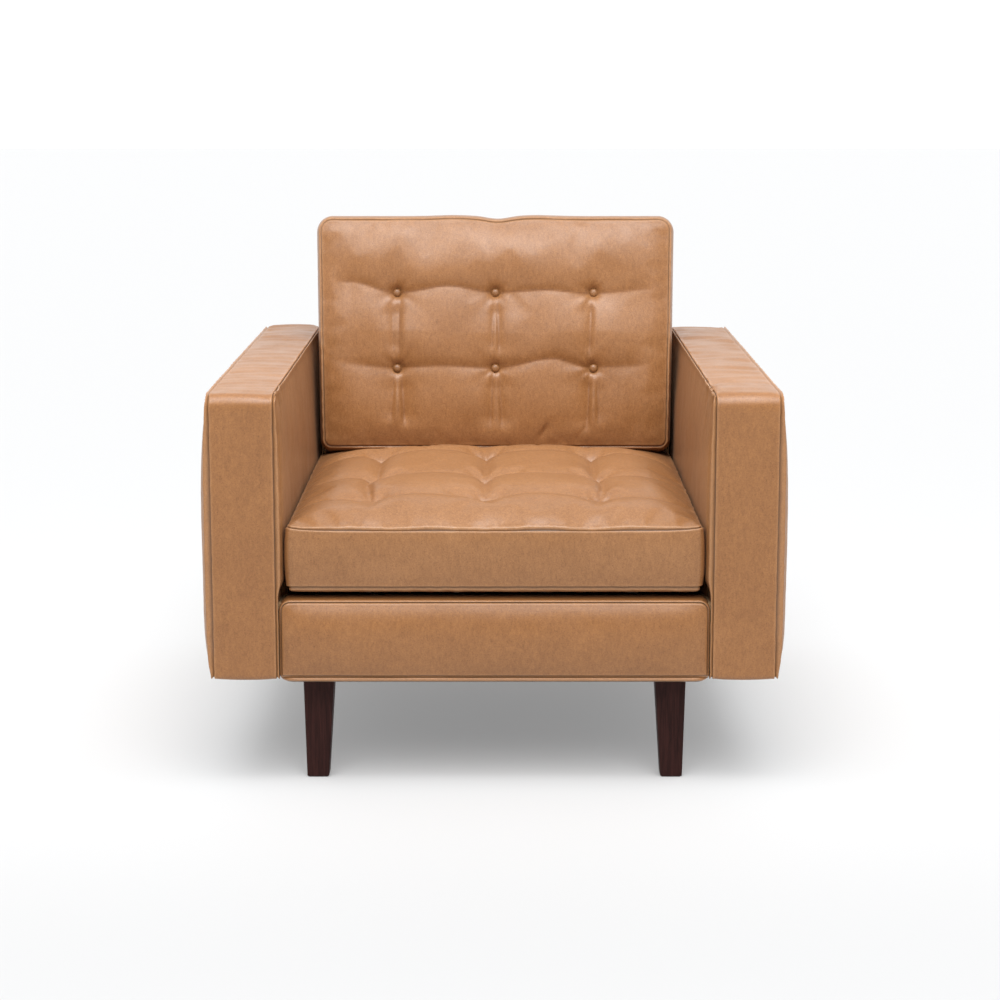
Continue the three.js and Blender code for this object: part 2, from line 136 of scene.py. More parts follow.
def rim_of(a, b, half_a, half_b, radii):
    """Each point's distance in from a rounded rectangle's edge, and the outward direction there."""
    sign_a, sign_b = np.where(a < 0, -1.0, 1.0), np.where(b < 0, -1.0, 1.0)
    radius = np.zeros_like(a)
    for (corner_a, corner_b), value in radii.items():
        radius[(sign_a == corner_a) & (sign_b == corner_b)] = value
    beyond_a = np.abs(a) - (half_a - radius)
    beyond_b = np.abs(b) - (half_b - radius)
    in_corner = (beyond_a > 0) & (beyond_b > 0)
    reach = np.hypot(beyond_a, beyond_b) + 1e-12
    nearer_a = beyond_a > beyond_b
    distance = np.where(in_corner, radius - reach, radius - np.maximum(beyond_a, beyond_b))
    out_a = np.where(in_corner, sign_a * beyond_a / reach, np.where(nearer_a, sign_a, 0))
    out_b = np.where(in_corner, sign_b * beyond_b / reach, np.where(nearer_a, 0, sign_b))
    return np.maximum(distance, 0), np.stack([out_a, out_b, np.zeros_like(a)], axis=-1)


class BoxedForm:
    """Two flat panels sewn to a band that runs round their edge: the shape of a box cushion.

    Points are held in local axes a, b (the panels' plane) and c (across the band). side is +1 or -1 on a
    panel and 0 on the band, pole is the sign of the nearest seam, seam the distance to it, and rim the
    outward direction in the panels' plane.
    """

    def __init__(self, length_a, length_b, thick, radii, step):
        self.half = np.array([length_a / 2, length_b / 2, thick / 2])
        lines_a, lines_b, lines_c = (graded(length, step) for length in (length_a, length_b, thick))
        grid_a, grid_b = np.meshgrid(lines_a, lines_b, indexing="ij")
        a, b = round_corners(grid_a, grid_b, self.half[0], self.half[1], radii)
        count_a, count_b = self.grid = a.shape
        rim_index = self._walk(count_a, count_b)
        band_a, band_b = a.reshape(-1)[rim_index], b.reshape(-1)[rim_index]
        rings = lines_c[1:-1]
        panel = np.stack([a.reshape(-1), b.reshape(-1)], axis=-1)
        parts = [
            np.column_stack([panel, np.full(len(panel), self.half[2])]),
            np.column_stack([panel, np.full(len(panel), -self.half[2])]),
        ]
        parts += [np.column_stack([band_a, band_b, np.full(len(band_a), c)]) for c in rings]
        self.points = np.concatenate(parts)
        band_count = len(rings) * len(rim_index)
        self.side = np.concatenate([np.ones(len(panel)), -np.ones(len(panel)), np.zeros(band_count)])
        inset, self.rim = rim_of(self.points[:, 0], self.points[:, 1], *self.half[:2], radii)
        across = self.half[2] - np.abs(self.points[:, 2])
        self.seam = np.where(self.side == 0, across, inset)
        self.inset = inset
        self.pole = np.where(self.side == 0, np.sign(self.points[:, 2]), self.side)
        self.base = self.points.copy()
        # Painted shade along fold lines, from 0 to 1: the material darkens the leather by it.
        self.crease_shade = np.zeros(len(self.points))
        self.faces = self._faces(count_a, count_b, rim_index, len(rings))

    @staticmethod
    def _walk(count_a, count_b):
        index = np.arange(count_a * count_b).reshape(count_a, count_b)
        return np.concatenate([index[:-1, 0], index[-1, :-1], index[:0:-1, -1], index[0, :0:-1]])

    @staticmethod
    def _faces(count_a, count_b, rim_index, ring_count):
        index = np.arange(count_a * count_b).reshape(count_a, count_b)
        quads = np.stack([index[:-1, :-1], index[1:, :-1], index[1:, 1:], index[:-1, 1:]], axis=-1).reshape(-1, 4)
        panel_count = count_a * count_b
        start = 2 * panel_count
        rings = [rim_index + panel_count]
        rings += [start + n * len(rim_index) + np.arange(len(rim_index)) for n in range(ring_count)]
        rings.append(rim_index)
        faces = [quads, quads[:, ::-1] + panel_count]
        for low, high in zip(rings, rings[1:]):
            faces.append(np.stack([low, np.roll(low, -1), np.roll(high, -1), high], axis=-1))
        return np.concatenate(faces)

    def panel(self, sign, height):
        """Raises one panel by a height at each point."""
        self.points[:, 2] += np.where(self.side == sign, sign * height, 0)

    def swell_band(self, bulge):
        """Pushes the band outwards between its two seams."""
        across = self.base[:, 2] / self.half[2]
        amount = bulge * np.clip(1 - across ** 2, 0, 1) ** 0.8
        self.points += self.rim * np.where(self.side == 0, amount, 0)[:, None]

    def soften(self, amount, reach):
        """Rounds the edges beside the seams."""
        self._shift(-amount * np.exp(-self.seam / reach))

    def sew(self, depth=SEAM_DEPTH, pucker=0.0, rng=None):
        """Draws in the seams, with a rolled lip beside each and, if asked, small puckers."""
        groove = depth * np.exp(-(self.seam / SEAM_WIDTH) ** 2)
        lip = SEAM_LIP * np.exp(-((self.seam - SEAM_LIP_AT) / SEAM_LIP_WIDTH) ** 2)
        self._shift(lip - groove)
        if pucker:
            wrinkle = ripples(rng, self.base, 0.022, 24) * np.exp(-self.seam / 0.012)
            self._shift(pucker * wrinkle * (1 - np.exp(-(self.seam / 0.003) ** 2)))

    def roll_panels(self, amount):
        """Rolls the panels' edges proud of the seam, so that they stand up beside the band."""
        roll = amount * np.exp(-((self.seam - SEAM_LIP_AT) / SEAM_LIP_WIDTH) ** 2) * np.abs(self.side)
        self.points += self.rim * (1.6 * roll)[:, None]
        self.points[:, 2] += 0.4 * self.side * roll

    def _shift(self, amount):
        outward = (self.rim + self.pole[:, None] * np.array([0, 0, 1.0])) / math.sqrt(2)
        self.points += outward * amount[:, None]

    def piece(self, name, axes, origin):
        """Makes the mesh. axes are the directions of a, b and c in the chair's frame."""
        world = self.points @ np.array(axes, float) + np.array(origin, float)
        # The seam distance and the painted fold shade go to the material as attributes.
        marks = {"seam": np.clip(self.seam, 0, 0.05), "crease_shade": np.clip(self.crease_shade, 0, 1)}
        return add_mesh(name, world, self.faces, marks)


CLOTH_FRAMES = 18
CLOTH_PRESSURE = 3.0
CLOTH_SLACK = 0.012
CLOTH_STRIDE = 2
CLOTH_CAP = 4 * MM


def settle(form, held, share):
    """Lets the upper panel's leather settle as cloth over its filling.

    The leather is a little too large, is blown out by pressure, and stays where held is 1. No point moves
    further than the cap, and only the share of that movement is kept."""
    rows, columns = form.grid
    count = rows * columns
    pick_a = np.unique(np.append(np.arange(0, rows, CLOTH_STRIDE), rows - 1))
    pick_b = np.unique(np.append(np.arange(0, columns, CLOTH_STRIDE), columns - 1))
    shape = (len(pick_a), len(pick_b))
    start = form.points[:count].reshape(rows, columns, 3)[np.ix_(pick_a, pick_b)]
    grip = held[:count].reshape(rows, columns)[np.ix_(pick_a, pick_b)].reshape(-1)
    index = np.arange(len(grip)).reshape(shape)
    faces = np.stack([index[:-1, :-1], index[1:, :-1], index[1:, 1:], index[:-1, 1:]], axis=-1).reshape(-1, 4)
    sheet = add_mesh("settling_leather", start.reshape(-1, 3), faces)
    group = sheet.vertex_groups.new(name="held")
    for vertex, weight in enumerate(grip):
        group.add([vertex], float(weight), "REPLACE")
    cloth = sheet.modifiers.new("settle", "CLOTH")
    settings = cloth.settings
    settings.quality = 5
    settings.mass = 0.3
    settings.tension_stiffness = settings.compression_stiffness = 20
    settings.shear_stiffness = 6
    settings.bending_stiffness = 12
    settings.use_pressure = True
    settings.uniform_pressure_force = CLOTH_PRESSURE
    settings.shrink_min = -CLOTH_SLACK
    settings.vertex_group_mass = "held"
    settings.effector_weights.gravity = 0
    cloth.collision_settings.use_collision = False
    scene = bpy.context.scene
    for number in range(1, CLOTH_FRAMES + 1):
        scene.frame_set(number)
    settled = sheet.evaluated_get(bpy.context.evaluated_depsgraph_get()).to_mesh()
    moved = np.empty(3 * len(grip))
    settled.vertices.foreach_get("co", moved)
    sheet_mesh = sheet.data
    bpy.data.objects.remove(sheet)
    bpy.data.meshes.remove(sheet_mesh)
    scene.frame_set(1)
    change = moved.reshape(*shape, 3) - start
    change *= share * np.minimum(1, CLOTH_CAP / (np.linalg.norm(change, axis=-1, keepdims=True) + 1e-9))
    along = np.stack([[np.interp(np.arange(rows), pick_a, change[:, k, axis]) for k in range(shape[1])]
                      for axis in range(3)])
    full = np.stack([[np.interp(np.arange(columns), pick_b, along[axis, :, k]) for k in range(rows)]
                     for axis in range(3)], axis=-1)
    free = 1 - np.clip(held[:count], 0, 1)
    form.points[:count] += full.reshape(count, 3) * free[:, None]


def held_places(form, a, b, tufts):
    """1 where a panel's leather is sewn down, at its seam and round its tufts, and 0 where it is free."""
    held = np.exp(-(form.seam / (6 * MM)) ** 2)
    for tuft_a, tuft_b, _ in tufts:
        held = np.maximum(held, np.exp(-(np.hypot(a - tuft_a, b - tuft_b) / (12 * MM)) ** 4))
    return np.where(held > 0.5, 1.0, held)


def ripples(rng, points, wavelength, waves):
    """Smooth seeded noise of about one wavelength, from -1 to 1, as a sum of plane waves."""
    total = np.zeros(len(points))
    for _ in range(waves):
        direction = rng.normal(size=points.shape[1])
        direction /= np.linalg.norm(direction)
        pitch = wavelength * rng.uniform(0.7, 1.5)
        total += np.sin(points @ direction * (2 * math.pi / pitch) + rng.uniform(0, 2 * math.pi))
    return total / math.sqrt(waves)


def fade(value, power):
    """1 at the middle of a span and 0 at its ends, where value goes from -1 to 1."""
    return 1 - np.clip(np.abs(value), 0, 1) ** power


def smoothstep(value):
    value = np.clip(value, 0, 1)
    return value * value * (3 - 2 * value)


def through(line, x):
    """A smooth line through a few points, level at each of them."""
    places, heights = (np.array(values, float) for values in zip(*line))
    x = np.clip(x, places[0], places[-1])
    index = np.clip(np.searchsorted(places, x, side="right") - 1, 0, len(places) - 2)
    step = smoothstep((x - places[index]) / (places[index + 1] - places[index]))
    return heights[index] + (heights[index + 1] - heights[index]) * step


def fold(along, across, line, depth, before, after, ends=18 * MM, rounding=1.2 * MM):
    """How far a fold draws the leather in: sharp at the line, easing out before and after it."""
    offset = across - through(line, along)
    reach = np.where(offset < 0, before, after)
    run = smoothstep((along - line[0][0]) / ends) * smoothstep((line[-1][0] - along) / ends)
    near = np.sqrt(offset ** 2 + rounding ** 2) - rounding
    return depth * run * np.exp(-near / reach)


def fold_shade_line(along, across, line, ends=22 * MM, width=1.7 * MM):
    """How much painted shade darkens a fold's line in the leather, from 0 to 1."""
    run = smoothstep((along - line[0][0]) / ends) * smoothstep((line[-1][0] - along) / ends)
    return run * np.exp(-((across - through(line, along)) / width) ** 2)


def rays(a, b, centre, count, reach, rng):
    """Small creases that run out from a tuft, from -1 to 1, fading with distance."""
    angle = np.arctan2(b - centre[1], a - centre[0])
    distance = np.hypot(a - centre[0], b - centre[1])
    total = np.zeros_like(a)
    for extra in range(3):
        total += np.sin((count + extra) * angle + rng.uniform(0, 2 * math.pi) + distance * rng.uniform(-30, 30))
    start = smoothstep(distance / (14 * MM))
    return total / 3 * start * np.exp(-distance / reach)


# ---------------------------------------------------------------- materials

def node_material(name):
    material = bpy.data.materials.new(name)
    material.use_nodes = True
    nodes = material.node_tree.nodes
    shader = nodes["Principled BSDF"]
    return material, nodes, material.node_tree.links, shader


def object_coordinates(nodes, links, scale=(1, 1, 1)):
    texture = nodes.new("ShaderNodeTexCoord")
    mapping = nodes.new("ShaderNodeMapping")
    mapping.inputs["Scale"].default_value = scale
    links.new(texture.outputs["Object"], mapping.inputs["Vector"])
    return mapping.outputs["Vector"]


def noise(nodes, links, vector, scale, detail=3.0, roughness=0.5, distortion=0.0):
    node = nodes.new("ShaderNodeTexNoise")
    node.inputs["Scale"].default_value = scale
    node.inputs["Detail"].default_value = detail
    node.inputs["Roughness"].default_value = roughness
    node.inputs["Distortion"].default_value = distortion
    links.new(vector, node.inputs["Vector"])
    return node.outputs["Fac"]


def ramp(nodes, links, value, stops):
    node = nodes.new("ShaderNodeValToRGB")
    elements = node.color_ramp.elements
    while len(elements) < len(stops):
        elements.new(0.5)
    for element, (position, color) in zip(elements, stops):
        element.position = position
        element.color = (*color, 1)
    links.new(value, node.inputs["Fac"])
    return node.outputs["Color"]


def spread(nodes, links, value, low, high, out_low, out_high):
    node = nodes.new("ShaderNodeMapRange")
    for key, number in zip(("From Min", "From Max", "To Min", "To Max"), (low, high, out_low, out_high)):
        node.inputs[key].default_value = number
    links.new(value, node.inputs["Value"])
    return node.outputs["Result"]


def mix(nodes, links, blend_type, factor, first, second):
    node = nodes.new("ShaderNodeMix")
    node.data_type = "RGBA"
    node.blend_type = blend_type
    if isinstance(factor, float):
        node.inputs["Factor"].default_value = factor
    else:
        links.new(factor, node.inputs["Factor"])
    for socket, value in ((node.inputs[6], first), (node.inputs[7], second)):
        if isinstance(value, tuple):
            socket.default_value = (*value, 1)
        else:
            links.new(value, socket)
    return node.outputs[2]


def bump(nodes, links, height, strength, distance, normal=None):
    node = nodes.new("ShaderNodeBump")
    node.inputs["Strength"].default_value = strength
    node.inputs["Distance"].default_value = distance
    links.new(height, node.inputs["Height"])
    if normal is not None:
        links.new(normal, node.inputs["Normal"])
    return node.outputs["Normal"]


def leather_material(name, deep, middle, pale, shine=0.62):
    """Aniline leather: cloudy dye, fine pebbled grain, darker seams, a painted highlight beside each seam, painted
    shade along fold lines and a soft gloss.
    """
    material, nodes, links, shader = node_material(name)
    vector = object_coordinates(nodes, links)
    clouds = noise(nodes, links, vector, 9, 7, 0.68, 0.4)
    tone = ramp(nodes, links, clouds, [(0.28, deep), (0.5, middle), (0.74, pale)])
    flecks = noise(nodes, links, vector, 400, 4, 0.7)
    fleck_tone = ramp(nodes, links, flecks, [(0.32, (0.80, 0.76, 0.72)), (0.66, (1.08, 1.08, 1.07))])
    tone = mix(nodes, links, "MULTIPLY", 1.0, tone, fleck_tone)
    pores = noise(nodes, links, vector, 620, 2, 0.5)
    pore_tone = ramp(nodes, links, pores, [(0.30, (0.74, 0.68, 0.62)), (0.42, (1, 1, 1))])
    tone = mix(nodes, links, "MULTIPLY", 1.0, tone, pore_tone)
    weave = noise(nodes, links, object_coordinates(nodes, links, (1, 1, 0.35)), 210, 5, 0.7, 0.3)
    weave_tone = ramp(nodes, links, weave, [(0.34, (0.86, 0.84, 0.81)), (0.62, (1.05, 1.05, 1.05))])
    tone = mix(nodes, links, "MULTIPLY", 1.0, tone, weave_tone)
    attribute = nodes.new("ShaderNodeAttribute")
    attribute.attribute_name = "seam"
    seam_shade = spread(nodes, links, attribute.outputs["Fac"], 0, 0.0021, 0.97, 0.0)
    tone = mix(nodes, links, "MULTIPLY", seam_shade, tone, (0.13, 0.08, 0.05))
    # Painted highlight: the leather a few millimetres from each seam is lightened where the rolled lip would catch
    # the light.
    seam_lip_highlight = spread(nodes, links, attribute.outputs["Fac"], 0.0025, 0.007, 0.20, 0.0)
    tone = mix(nodes, links, "ADD", seam_lip_highlight, tone, (0.45, 0.30, 0.18))
    # Painted shade: the leather is darkened along the lines of folds and tufts, where shade would fall.
    crease_shade = nodes.new("ShaderNodeAttribute")
    crease_shade.attribute_name = "crease_shade"
    tone = mix(nodes, links, "MULTIPLY", crease_shade.outputs["Fac"], tone, (0.50, 0.38, 0.29))
    links.new(tone, shader.inputs["Base Color"])
    grain = nodes.new("ShaderNodeTexVoronoi")
    grain.feature = "SMOOTH_F1"
    grain.inputs["Scale"].default_value = 620
    grain.inputs["Smoothness"].default_value = 0.6
    links.new(vector, grain.inputs["Vector"])
    creases = noise(nodes, links, vector, 60, 7, 0.66, 0.9)
    normal = bump(nodes, links, grain.outputs["Distance"], 0.14, 0.0004)
    normal = bump(nodes, links, creases, 0.26, 0.0012, normal)
    links.new(normal, shader.inputs["Normal"])
    gloss = noise(nodes, links, vector, 22, 4, 0.6)
    links.new(spread(nodes, links, gloss, 0.3, 0.7, 0.33, 0.46), shader.inputs["Roughness"])
    shader.inputs["Specular IOR Level"].default_value = shine
    shader.inputs["Sheen Weight"].default_value = 0.05
    shader.inputs["Sheen Roughness"].default_value = 0.5
    shader.inputs["Sheen Tint"].default_value = (1.0, 0.86, 0.72, 1)
    return material


def wood_material(name, dark, light, gloss, grain_scale=1.0):
    """Straight-grained wood with its grain along Z."""
    material, nodes, links, shader = node_material(name)
    vector = object_coordinates(nodes, links, (60 * grain_scale, 60 * grain_scale, 3.5 * grain_scale))
    figure = noise(nodes, links, vector, 3.2, 6, 0.62, 0.6)
    pores = noise(nodes, links, object_coordinates(nodes, links, (700, 700, 16)), 1.6, 3, 0.5)
    tone = ramp(nodes, links, figure, [(0.32, dark), (0.68, light)])
    pore_tone = ramp(nodes, links, pores, [(0.38, (0.62, 0.6, 0.6)), (0.5, (1, 1, 1))])
    links.new(mix(nodes, links, "MULTIPLY", 0.6, tone, pore_tone), shader.inputs["Base Color"])
    links.new(spread(nodes, links, figure, 0.3, 0.7, gloss + 0.08, gloss), shader.inputs["Roughness"])
    links.new(bump(nodes, links, pores, 0.2, 0.0004), shader.inputs["Normal"])
    shader.inputs["Specular IOR Level"].default_value = 0.12
    return material


def cloth_material(name, color, thread=900):
    """A plain woven cloth: crossed threads in colour and relief."""
    material, nodes, links, shader = node_material(name)
    threads = []
    for axis in ("X", "Y"):
        wave = nodes.new("ShaderNodeTexWave")
        wave.bands_direction = axis
        wave.inputs["Scale"].default_value = thread / 6.0
        wave.inputs["Distortion"].default_value = 0.6
        links.new(object_coordinates(nodes, links), wave.inputs["Vector"])
        threads.append(wave.outputs["Fac"])
    weave = mix(nodes, links, "MULTIPLY", 1.0, threads[0], threads[1])
    low = tuple(0.6 * value for value in color)
    tone = ramp(nodes, links, weave, [(0.1, low), (0.7, color)])
    mottle = noise(nodes, links, object_coordinates(nodes, links), 14, 4, 0.6)
    mottle_tone = ramp(nodes, links, mottle, [(0.3, (0.85, 0.85, 0.85)), (0.7, (1.1, 1.1, 1.1))])
    links.new(mix(nodes, links, "MULTIPLY", 1.0, tone, mottle_tone), shader.inputs["Base Color"])
    links.new(bump(nodes, links, weave, 0.4, 0.0006), shader.inputs["Normal"])
    shader.inputs["Roughness"].default_value = 0.92
    return material


def metal_material(name, color):
    """Drawn steel with faint scratches."""
    material, nodes, links, shader = node_material(name)
    scratches = noise(nodes, links, object_coordinates(nodes, links, (400, 40, 400)), 2, 4, 0.6)
    dark = tuple(0.7 * value for value in color)
    links.new(ramp(nodes, links, scratches, [(0.3, dark), (0.7, color)]), shader.inputs["Base Color"])
    links.new(spread(nodes, links, scratches, 0.3, 0.7, 0.3, 0.5), shader.inputs["Roughness"])
    shader.inputs["Metallic"].default_value = 1.0
    return material


LEATHER = leather_material("leather", (0.298, 0.125, 0.037), (0.330, 0.142, 0.043), (0.360, 0.158, 0.050))
# The cushions' leather is the same hide, painted paler and less saturated: painted sheen that stands in for the
# whiter gloss the cushions catch.
CUSHION_LEATHER_PAINTED_SHEEN = leather_material(
    "cushion_leather", (0.300, 0.134, 0.046), (0.331, 0.151, 0.054), (0.362, 0.170, 0.064), 0.58)
BUTTON_LEATHER = leather_material("button_leather", (0.21, 0.090, 0.028), (0.27, 0.119, 0.039), (0.31, 0.143, 0.050))
LEG_WOOD = wood_material("leg_wood", (0.019, 0.0060, 0.0050), (0.044, 0.0140, 0.0115), 0.46)
TIMBER = wood_material("frame_timber", (0.42, 0.27, 0.14), (0.60, 0.42, 0.24), 0.6, 0.5)
STEEL = metal_material("steel", (0.5, 0.5, 0.5))
ZIP_METAL = metal_material("zip_metal", (0.34, 0.22, 0.11))
ZIP_TAPE = cloth_material("zip_tape", (0.085, 0.045, 0.024))
DECK_CLOTH = cloth_material("deck_cloth", (0.11, 0.07, 0.045))
DUST_CLOTH = cloth_material("dust_cloth", (0.012, 0.012, 0.012))


# ---------------------------------------------------------------- stage

def build_stage():
    front = CAD_BOX[0][1]
    camera_data = bpy.data.cameras.new("camera")
    camera_data.lens = LENS_MM
    camera_data.sensor_width = SENSOR_MM
    camera_data.clip_end = 200
    camera = bpy.data.objects.new("camera", camera_data)
    camera.location = (CAMERA_SIDE, front - CAMERA_AWAY, CAMERA_HEIGHT)
    camera.rotation_euler = (math.pi / 2 - CAMERA_PITCH, 0, 0)
    bpy.context.scene.collection.objects.link(camera)
    bpy.context.scene.camera = camera

    half = FLOOR_SIZE / 2
    corners = [(-half, -half, 0), (half, -half, 0), (half, half, 0), (-half, half, 0)]
    floor = add_mesh("floor", corners, [(0, 1, 2, 3)])
    material, nodes, links, shader = node_material("floor")
    shader.inputs["Base Color"].default_value = (*FLOOR_TONE, 1)
    shader.inputs["Roughness"].default_value = 0.9
    shader.inputs["Specular IOR Level"].default_value = 0.1
    shader.inputs["Emission Color"].default_value = (1, 1, 1, 1)
    shader.inputs["Emission Strength"].default_value = FLOOR_GLOW
    floor.data.materials.append(material)

    bpy.context.scene.world = build_dome()
    bpy.context.scene.view_settings.view_transform = "Standard"
    add_key_light()
    add_softbox()


def build_dome():
    """A white dome of light whose level rises towards the back of the studio."""
    world = bpy.data.worlds.new("studio")
    world.use_nodes = True
    nodes, links = world.node_tree.nodes, world.node_tree.links
    texture = nodes.new("ShaderNodeTexCoord")
    axes = nodes.new("ShaderNodeSeparateXYZ")
    links.new(texture.outputs["Generated"], axes.inputs[0])
    level = nodes.new("ShaderNodeMath")
    level.operation = "MULTIPLY_ADD"
    links.new(axes.outputs["Y"], level.inputs[0])
    level.inputs[1].default_value = DOME_BEHIND
    level.inputs[2].default_value = DOME_LEVEL
    links.new(level.outputs[0], nodes["Background"].inputs["Strength"])
    nodes["Background"].inputs["Color"].default_value = (1, 1, 1, 1)
    return world


def add_softbox():
    data = bpy.data.lights.new("softbox", "AREA")
    data.shape = "RECTANGLE"
    data.size, data.size_y = SOFTBOX["size"]
    data.energy = SOFTBOX["power"]
    data.spread = SOFTBOX_SPREAD
    light = bpy.data.objects.new("softbox", data)
    place = Vector(SOFTBOX["place"])
    light.location = place
    light.rotation_euler = (Vector(SOFTBOX["target"]) - place).to_track_quat("-Z", "Y").to_euler()
    light.visible_camera = False
    bpy.context.scene.collection.objects.link(light)


def add_key_light():
    """A broad light, high in front of the chair, that reaches the whole floor evenly."""
    data = bpy.data.lights.new("key", "SUN")
    data.energy = KEY_LEVEL
    data.angle = KEY_SOFTNESS
    light = bpy.data.objects.new("key", data)
    light.rotation_euler = (math.pi / 2 - KEY_ANGLE, 0, 0)
    bpy.context.scene.collection.objects.link(light)


def dress(piece, body, slot, material, *replaced):
    """Gives a piece its material and body, and hides the nodes it stands for. The slot is not used."""
    piece.data.materials.append(material)
    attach(piece, body)
    if replaced:
        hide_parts(*replaced)


# ---------------------------------------------------------------- arms

ARM_CAD_SWELL = 14.5 * MM
ARM_SEAM_DRAW = 5.7 * MM
ARM_SWELL = {"outer": 15.5 * MM, "inner": 10.0 * MM}
ARM_SWELL_RISE = 8.5 * MM
ARM_RADII = {(-1, 1): 21 * MM, (1, 1): 8 * MM, (-1, -1): 7 * MM, (1, -1): 7 * MM}
ARM_STEP = 8 * MM
ARM_ROLL = 3.4 * MM
UNDERSIDE_RECESS = 3.5 * MM


def build_arm(name, side, rng):
    """A box arm: one leather band over its front, top and back, between two swollen side panels."""
    low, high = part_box(f"{name}_cover")
    fascia_low, fascia_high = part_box("front_rail_cover")
    depth, height = high.y - low.y, high.z - low.z
    width = (high.x - low.x) - 2 * ARM_CAD_SWELL + ARM_SEAM_DRAW
    form = BoxedForm(depth, height, width, ARM_RADII, ARM_STEP)
    a, b = form.base[:, 0], form.base[:, 1]
    up = b / form.half[1]
    from_end = form.half[0] - np.abs(a)
    rise = np.where(up > 0, fade(up, 3.0), fade(up, 6.5)) * (1 - np.exp(-from_end / ARM_SWELL_RISE))
    waves = 0.9 * MM * ripples(rng, form.base[:, :2], 0.22, 20) * fade(up, 4) * smoothstep(from_end / 0.05)
    beside_rail = smoothstep((fascia_high.z + 0.03 - (b + (low.z + high.z) / 2)) / 0.03)
    beside_rail *= smoothstep((fascia_high.y + 0.04 - (a + (low.y + high.y) / 2)) / 0.04)
    inner_swell = ARM_SWELL["inner"] * (1 - beside_rail)
    form.panel(side, ARM_SWELL["outer"] * rise + waves)
    form.panel(-side, inner_swell * rise + waves * (1 - beside_rail))
    form.swell_band(2 * MM)
    crease_arm_top(form, side, rng)
    recess_underside(form)
    form.soften(2.2 * MM, 8 * MM)
    form.sew(pucker=0.7 * MM, rng=rng)
    form.roll_panels(ARM_ROLL)
    middle = (low + high) / 2
    piece = form.piece(f"{name}_upholstery", [(0, 1, 0), (0, 0, 1), (1, 0, 0)], middle)
    dress(piece, "chair", "leather", LEATHER, f"{name}_cover", f"{name}_padding")


def crease_arm_top(form, side, rng):
    """Shallow wrinkles across the top of the arm, where the leather is pulled over its rail."""
    a, b, c = form.base.T
    on_top = (form.side == 0) & (b > form.half[1] - 30 * MM)
    stretched = np.column_stack([a, c * 0.22])
    fine = ripples(rng, stretched, 0.042, 26)
    broad = ripples(rng, stretched, 0.11, 16)
    inside = smoothstep(form.seam / (12 * MM))
    amount = (1.1 * MM * fine + 1.5 * MM * broad) * inside
    puckers = 1.3 * MM * ripples(rng, stretched, 0.016, 20) * np.exp(-form.seam / (9 * MM))
    near_front = np.exp(-np.abs(a + form.half[0] - 0.06) / 0.10)
    inner_edge = np.where(np.sign(c) == -side, 1.0, 0.25)
    amount += puckers * near_front * inner_edge * smoothstep(form.seam / (3 * MM))
    form.points[:, 1] += np.where(on_top, amount, 0)
    panel = form.side == -side
    top_edge = np.exp(-(form.half[1] - b) / (45 * MM)) * near_front * smoothstep(form.seam / (3 * MM))
    gathers = 2.8 * MM * ripples(rng, np.column_stack([a, b * 0.3]), 0.015, 20) * top_edge
    form.points[:, 2] += np.where(panel, -side * gathers, 0)


def recess_underside(form):
    """Draws the underside of an arm up to the dust cover, inside a margin of turned-in leather."""
    under = (form.side == 0) & (form.base[:, 1] < -form.half[1] + 1 * MM)
    from_end = form.half[0] - np.abs(form.base[:, 0])
    inside = smoothstep((form.seam - 4 * MM) / (5 * MM)) * smoothstep((from_end - 8 * MM) / (8 * MM))
    form.points[:, 1] += np.where(under, UNDERSIDE_RECESS * inside, 0)


# ---------------------------------------------------------------- front rail

HEM = 6 * MM
RAIL_PUFF = 11 * MM
RAIL_DROP = 6 * MM
RAIL_LEAN = 4 * MM


def build_fascia(rng):
    """The padded front rail: a face panel with rounded upper corners, and the turned-under hem below it."""
    low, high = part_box("front_rail_cover")
    face_low = low.z + HEM
    top = high.z - RAIL_DROP
    width, height, thick = high.x - low.x, top - face_low, high.y - low.y
    radii = {(1, 1): 17 * MM, (-1, 1): 17 * MM, (1, -1): 5 * MM, (-1, -1): 5 * MM}
    form = BoxedForm(width, height, thick, radii, 8 * MM)
    across, up = form.base[:, 0] / form.half[0], form.base[:, 1] / form.half[1]
    puff = RAIL_PUFF * fade(across, 14) * fade(up, 2.0)
    puff -= RAIL_LEAN * np.exp((form.base[:, 1] - form.half[1]) / (16 * MM))
    form.panel(1, puff + 0.5 * MM * ripples(rng, form.base[:, :2], 0.15, 16))
    form.swell_band(2 * MM)
    form.soften(3.5 * MM, 7 * MM)
    form.sew(depth=1.2 * MM)
    origin = ((low.x + high.x) / 2, (low.y + high.y) / 2, (face_low + top) / 2)
    piece = form.piece("front_rail_upholstery", [(1, 0, 0), (0, 0, 1), (0, -1, 0)], origin)
    dress(piece, "chair", "leather", LEATHER, "front_rail_cover")

    form = BoxedForm(width - 6 * MM, thick - 4 * MM, HEM + 4 * MM, {corner: 20 * MM for corner in radii}, 8 * MM)
    form.swell_band(4 * MM)
    form.soften(2 * MM, 4 * MM)
    origin = ((low.x + high.x) / 2, (low.y + high.y) / 2 + 1 * MM, low.z + HEM / 2)
    piece = form.piece("front_rail_hem", [(1, 0, 0), (0, 1, 0), (0, 0, 1)], origin)
    dress(piece, "chair", "leather", LEATHER)


# ---------------------------------------------------------------- cushions

def tuft_places(kind, rows, middle, across, up, out):
    """Where each tuft sits in a cushion's own axes: across, along, and the height of its floor."""
    places = {}
    for row in rows:
        for column in ("left", "centre", "right"):
            low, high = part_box(f"{kind}_button_{row}_{column}")
            centre = (low + high) / 2 - middle
            places[row, column] = (centre.dot(across), centre.dot(up), centre.dot(out) - BUTTON_HALF)
    return places


BUTTON_HALF = 2.5 * MM
BUTTON_SEAT = 8 * MM


